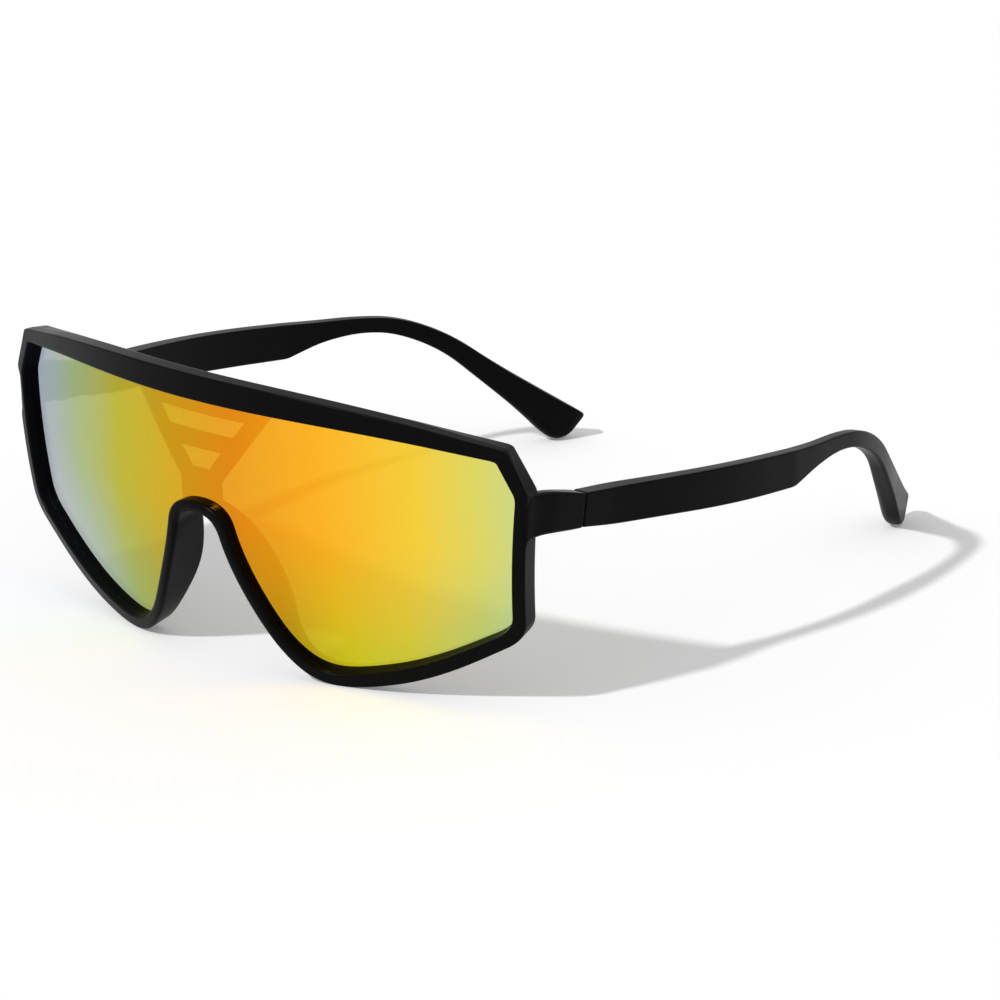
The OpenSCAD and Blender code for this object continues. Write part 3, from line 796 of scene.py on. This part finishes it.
def mirror_coat(finish):
    """Thin metal oxide coat on polycarbonate: lilac, green, gold and orange bands across the lens,
    greener towards the bottom. It sends most light back and lets the rest through in another
    tint."""
    made, tree = blank("mirror_coated_polycarbonate")
    where = node(tree, "ShaderNodeTexCoord").outputs["Object"]
    axes = node(tree, "ShaderNodeSeparateXYZ", {"Vector": where})
    across = node(tree, "ShaderNodeMapRange", {"Value": axes.outputs["X"]},
                  From_Min=COAT_ENDS[0] * MM, From_Max=COAT_ENDS[1] * MM).outputs[0]
    low = node(tree, "ShaderNodeMapRange", {"Value": axes.outputs["Z"]},
               From_Min=COAT_FADES[0] * MM, From_Max=COAT_FADES[1] * MM).outputs[0]
    middle = node(tree, "ShaderNodeMapRange", {"Value": axes.outputs["X"]},
                  From_Min=THROUGH_FADES[0] * MM, From_Max=THROUGH_FADES[1] * MM).outputs[0]
    coat = node(tree, "ShaderNodeBsdfPrincipled", Roughness=POLISHED, Metallic=1.0)
    coat.inputs["Specular Tint"].default_value = linear(COAT_LOW_ANGLE)
    sent_back = blend(tree, low, bands(tree, across, COAT_HIGH), bands(tree, across, COAT_LOW))
    tree.links.new(sent_back, coat.inputs["Base Color"])
    glass = node(tree, "ShaderNodeBsdfPrincipled", Roughness=POLISHED, IOR=POLYCARBONATE_IOR)
    glass.inputs["Transmission Weight"].default_value = 1.0
    tint = blend(tree, middle, finish.through_far, finish.through_near)
    tree.links.new(tint, glass.inputs["Base Color"])
    both = node(tree, "ShaderNodeMixShader")
    both.inputs[0].default_value = finish.mirror
    tree.links.new(glass.outputs[0], both.inputs[1])
    tree.links.new(coat.outputs[0], both.inputs[2])
    node(tree, "ShaderNodeOutputMaterial", {"Surface": both.outputs[0]})
    return made


def clear_polycarbonate(tint):
    """Clear moulded polycarbonate, the back of the lens: smooth, with faint flow in its surface."""
    made, tree = blank("clear_polycarbonate")
    where = node(tree, "ShaderNodeTexCoord").outputs["Object"]
    flow = node(tree, "ShaderNodeTexNoise", {"Vector": where}, Scale=1 / FLOW, Detail=1.0)
    rough = node(tree, "ShaderNodeMapRange", {"Value": flow.outputs["Fac"]},
                 To_Min=0.02, To_Max=0.05)
    skin = node(tree, "ShaderNodeBsdfPrincipled", {"Roughness": rough.outputs[0]},
                IOR=POLYCARBONATE_IOR, Base_Color=tint)
    skin.inputs["Transmission Weight"].default_value = 1.0
    node(tree, "ShaderNodeOutputMaterial", {"Surface": skin.outputs[0]})
    return made


def worked_metal(name, tint, stretch, low, high):
    """Plated or turned metal: dull, with a soft broken shine, because its roughness follows fine
    lines, stretched by the given scales and between a low and a high value."""
    made, tree = blank(name)
    where = node(tree, "ShaderNodeTexCoord").outputs["Object"]
    drawn = node(tree, "ShaderNodeMapping", {"Vector": where})
    drawn.inputs["Scale"].default_value = stretch
    lines = node(tree, "ShaderNodeTexNoise", {"Vector": drawn.outputs[0]},
                 Scale=1 / LINES, Detail=3.0)
    rough = node(tree, "ShaderNodeMapRange", {"Value": lines.outputs["Fac"]},
                 To_Min=low, To_Max=high)
    bump = node(tree, "ShaderNodeBump", {"Height": lines.outputs["Fac"]},
                Strength=0.15, Distance=RELIEF)
    skin = node(tree, "ShaderNodeBsdfPrincipled",
                {"Roughness": rough.outputs[0], "Normal": bump.outputs[0]},
                Base_Color=tint, Metallic=1.0)
    node(tree, "ShaderNodeOutputMaterial", {"Surface": skin.outputs[0]})
    return made


def nylon():
    """The black nylon that the front and the temples share, made once."""
    tint = bpy.context.scene.shield_finishes.nylon
    return bpy.data.materials.get("moulded_black_nylon") or moulded_nylon(tint)


# Operators


class SHIELD_OT_front(bpy.types.Operator):
    """Make the moulded front: rim with nose pads, brace and both lugs"""

    bl_idname = "shield.front"
    bl_label = "Moulded front"

    def execute(self, context):
        f, t = context.scene.shield_front, context.scene.shield_temple
        for made in (front_rim(f, t), even_normals(brace(f)), lug(f, t, 1), lug(f, t, -1)):
            made.data.materials.append(nylon())
            made.data.set_sharp_from_angle(angle=FRONT_SHARP)
        return {"FINISHED"}


class SHIELD_OT_lens(bpy.types.Operator):
    """Make the shield lens with its mirror coat"""

    bl_idname = "shield.lens"
    bl_label = "Shield lens"

    def execute(self, context):
        f, finish = context.scene.shield_front, context.scene.shield_finishes
        made = shield_lens(f)
        made.data.materials.append(mirror_coat(finish))
        made.data.materials.append(clear_polycarbonate(finish.lens_body))
        index = np.ones(len(made.data.polygons), np.int32)
        index[:made["front_cells"]] = 0
        made.data.polygons.foreach_set("material_index", index)
        made.data.set_sharp_from_angle(angle=LENS_SHARP)
        return {"FINISHED"}


class SHIELD_OT_temples(bpy.types.Operator):
    """Make both temples"""

    bl_idname = "shield.temples"
    bl_label = "Temples"

    def execute(self, context):
        f, t = context.scene.shield_front, context.scene.shield_temple
        for side in (1, -1):
            made = temple(f, t, side)
            made.data.materials.append(nylon())
            even_normals(made)
        return {"FINISHED"}


class SHIELD_OT_hinges(bpy.types.Operator):
    """Finish the hinge leaves and screws"""

    bl_idname = "shield.hinges"
    bl_label = "Hinges"

    def execute(self, context):
        finish = context.scene.shield_finishes
        leaf = worked_metal("black_plated_nickel_silver", finish.hinge,
                            stretch=(1.0, 0.05, 1.0), low=0.22, high=0.4)
        screw = worked_metal("turned_steel", finish.screw,
                             stretch=(0.2, 0.2, 1.0), low=0.18, high=0.34)
        for name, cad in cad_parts.items():
            if name.startswith("hinge_"):
                cad.data.materials.clear()
                cad.data.materials.append(screw if "screw" in name else leaf)
        return {"FINISHED"}


class SHIELD_OT_stage(bpy.types.Operator):
    """Make the floor, the sky, the lamp and the camera"""

    bl_idname = "shield.stage"
    bl_label = "Studio"

    def execute(self, context):
        studio = context.scene.shield_studio
        make_floor(studio)
        make_sky(studio)
        make_lamp(studio)
        make_camera()
        context.scene.view_settings.view_transform = "Standard"
        return {"FINISHED"}


def seen_directly(tree):
    """1 for camera, glossy and transmission rays, 0 for the others."""
    path = node(tree, "ShaderNodeLightPath")
    first = node(tree, "ShaderNodeMath", operation="MAXIMUM")
    tree.links.new(path.outputs["Is Camera Ray"], first.inputs[0])
    tree.links.new(path.outputs["Is Glossy Ray"], first.inputs[1])
    second = node(tree, "ShaderNodeMath", operation="MAXIMUM")
    tree.links.new(first.outputs[0], second.inputs[0])
    tree.links.new(path.outputs["Is Transmission Ray"], second.inputs[1])
    return second.outputs[0]


def make_floor(studio):
    """A wide pale floor at z = 0, and its matt paper finish."""
    reach = 3.0
    points = [(-reach, -reach, 0), (reach, -reach, 0), (reach, reach, 0), (-reach, reach, 0)]
    mesh = bpy.data.meshes.new("floor")
    mesh.from_pydata(points, [], [(0, 1, 2, 3)])
    floor = bpy.data.objects.new("floor", mesh)
    bpy.context.scene.collection.objects.link(floor)
    made, tree = blank("white_paper")
    matt = node(tree, "ShaderNodeBsdfDiffuse", Color=studio.floor)
    glow = node(tree, "ShaderNodeEmission", {"Strength": seen_directly(tree)})
    glow.inputs["Color"].default_value = (studio.glow, studio.glow, studio.glow, 1)
    both = node(tree, "ShaderNodeAddShader")
    tree.links.new(matt.outputs[0], both.inputs[0])
    tree.links.new(glow.outputs[0], both.inputs[1])
    node(tree, "ShaderNodeOutputMaterial", {"Surface": both.outputs[0]})
    mesh.materials.append(made)


def make_sky(studio):
    """An even sky: white where it is seen directly or mirrored, softer as a light."""
    world = bpy.data.worlds.new("sky")
    world.use_nodes = True
    tree = world.node_tree
    tree.nodes.clear()
    strength = node(tree, "ShaderNodeMapRange", {"Value": seen_directly(tree)},
                    To_Min=studio.sky, To_Max=1.0)
    sky = node(tree, "ShaderNodeBackground", {"Strength": strength.outputs[0]})
    node(tree, "ShaderNodeOutputWorld", {"Surface": sky.outputs[0]})
    bpy.context.scene.world = world


def make_lamp(studio):
    """One lamp in front of the lens and above it, whose shadows fall back and to the wearer's
    left."""
    light = bpy.data.lights.new("lamp", "SUN")
    light.energy = studio.sun
    light.angle = np.radians(studio.sun_angle)
    lamp = bpy.data.objects.new("lamp", light)
    towards = np.array([-0.17, -1.05, 1.0])
    towards /= np.linalg.norm(towards)
    side = np.cross([0, 0, 1], towards)
    side /= np.linalg.norm(side)
    turn = np.eye(4)
    turn[:3, 0], turn[:3, 1], turn[:3, 2] = side, np.cross(towards, side), towards
    lamp.matrix_world = Matrix(turn.tolist())
    bpy.context.scene.collection.objects.link(lamp)


def make_camera():
    """The camera in front and to the wearer's left, turned by azimuth, elevation and roll in
    radians. The aim lies off the middle of the picture by the shift, across and up."""
    azimuth, elevation, roll, distance = 0.72376, 0.30886, -0.00414, 1.35612
    aim, shift = np.array([0, -0.04, 0.03]), (-0.03064, 0.00468)
    level = np.cos(elevation)
    back = np.array([np.sin(azimuth) * level, -np.cos(azimuth) * level, np.sin(elevation)])
    right = np.cross([0, 0, 1], back)
    right /= np.linalg.norm(right)
    up = np.cross(back, right)
    turned = np.cos(roll) * right + np.sin(roll) * up
    up = np.cos(roll) * up - np.sin(roll) * right
    data = bpy.data.cameras.new("camera")
    data.sensor_width, data.lens = 36, 230.15
    data.clip_start, data.clip_end = 0.1, 20
    camera = bpy.data.objects.new("camera", data)
    place = np.eye(4)
    place[:3, 0], place[:3, 1], place[:3, 2] = turned, up, back
    place[:3, 3] = aim - shift[0] * turned - shift[1] * up + distance * back
    camera.matrix_world = Matrix(place.tolist())
    bpy.context.scene.collection.objects.link(camera)
    bpy.context.scene.camera = camera


class SHIELD_PT_panel(bpy.types.Panel):
    """Sizes, finishes and the buttons that make each piece"""

    bl_idname = "SHIELD_PT_panel"
    bl_label = "Sunglasses"
    bl_space_type = "VIEW_3D"
    bl_region_type = "UI"
    bl_category = "Sunglasses"

    def draw(self, context):
        for name in GROUPS:
            box = self.layout.box()
            group = getattr(context.scene, name)
            for key in type(group).__annotations__:
                box.prop(group, key)
        for maker in MAKERS:
            self.layout.operator(maker.bl_idname)


GROUPS = {
    "shield_front": ShieldFrontSizes,
    "shield_temple": ShieldTempleSizes,
    "shield_finishes": ShieldFinishes,
    "shield_studio": ShieldStudio,
}
MAKERS = (SHIELD_OT_front, SHIELD_OT_lens, SHIELD_OT_temples, SHIELD_OT_hinges, SHIELD_OT_stage)


def register():
    """Registers the classes and hangs each group of properties on the scene."""
    for kind in (*GROUPS.values(), *MAKERS, SHIELD_PT_panel):
        bpy.utils.register_class(kind)
    for name, kind in GROUPS.items():
        setattr(bpy.types.Scene, name, bpy.props.PointerProperty(type=kind))


def unregister():
    """Undoes register."""
    for name in GROUPS:
        delattr(bpy.types.Scene, name)
    for kind in (SHIELD_PT_panel, *MAKERS[::-1], *list(GROUPS.values())[::-1]):
        bpy.utils.unregister_class(kind)


def main():
    """Makes every piece and the studio."""
    register()
    bpy.ops.shield.front()
    bpy.ops.shield.lens()
    bpy.ops.shield.temples()
    bpy.ops.shield.hinges()
    bpy.ops.shield.stage()


if __name__ == "__main__":
    main()
